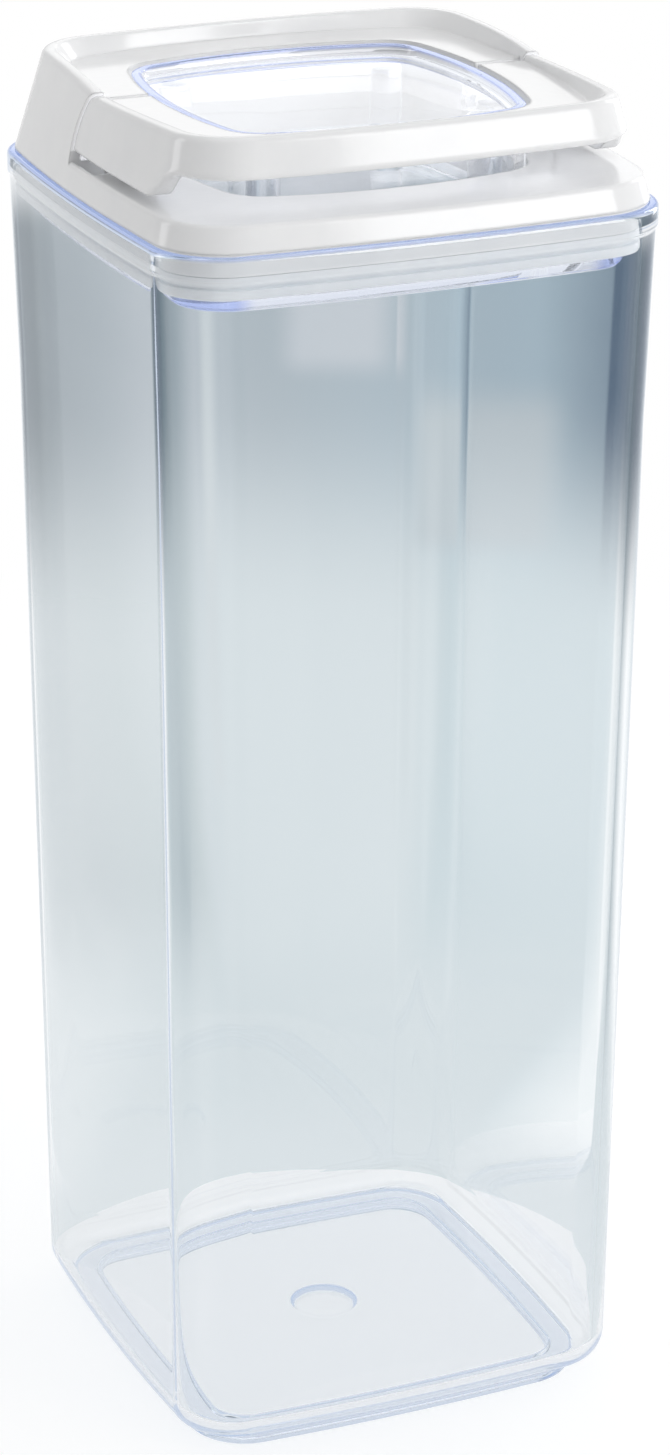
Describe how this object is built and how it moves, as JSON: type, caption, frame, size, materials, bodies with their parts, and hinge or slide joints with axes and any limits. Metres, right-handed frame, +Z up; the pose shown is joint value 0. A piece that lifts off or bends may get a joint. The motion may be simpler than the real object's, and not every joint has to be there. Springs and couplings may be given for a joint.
{
  "type": "food canister",
  "caption": "Tall square clear food canister with a white airtight lid; the lid's front half flips up as a handle and drops a clear plunger to free the gasket.",
  "frame": {"origin": "centre of the square foot, on the plane it stands on", "axes": "+Z up; the flip handle's front bar faces -Y; +X is to the right seen from that front"},
  "size_m": [0.098, 0.098, 0.254],
  "materials": {
    "clear_body": "clear rigid plastic, polished",
    "white_gloss": "white moulded plastic, gloss",
    "white_satin": "white moulded plastic, satin",
    "clear_lid": "clear rigid plastic with blue edges, polished",
    "silicone": "milky silicone, satin",
    "pin_steel": "drawn stainless steel"
  },
  "bodies": {
    "base": {"canister": "clear_body"},
    "lid": {"lid_cover": "white_gloss", "lid_base": "white_satin", "hinge_pins": "pin_steel"},
    "handle": {"flip_handle": "white_gloss", "lift_pins": "pin_steel"},
    "plunger": {"window_cup": "clear_lid", "seal_plate": "clear_lid", "gasket": "silicone"}
  },
  "joints": [
    {"name": "lid_lift", "type": "slide", "parent": "base", "child": "lid", "axis": [0, 0, 1], "range_m": [0, 0.06]},
    {"name": "handle_flip", "type": "hinge", "parent": "lid", "child": "handle", "pos_m": [0, -0.0065, 0.2436], "axis": [-1, 0, 0], "range_deg": [0, 22]},
    {"name": "plunger_drop", "type": "slide", "parent": "lid", "child": "plunger", "axis": [0, 0, -1], "range_m": [0, 0.0036]}
  ],
  "couplings": [
    {"joint": "plunger_drop", "follows": "handle_flip", "m_per_rad": 0.009366}
  ]
}
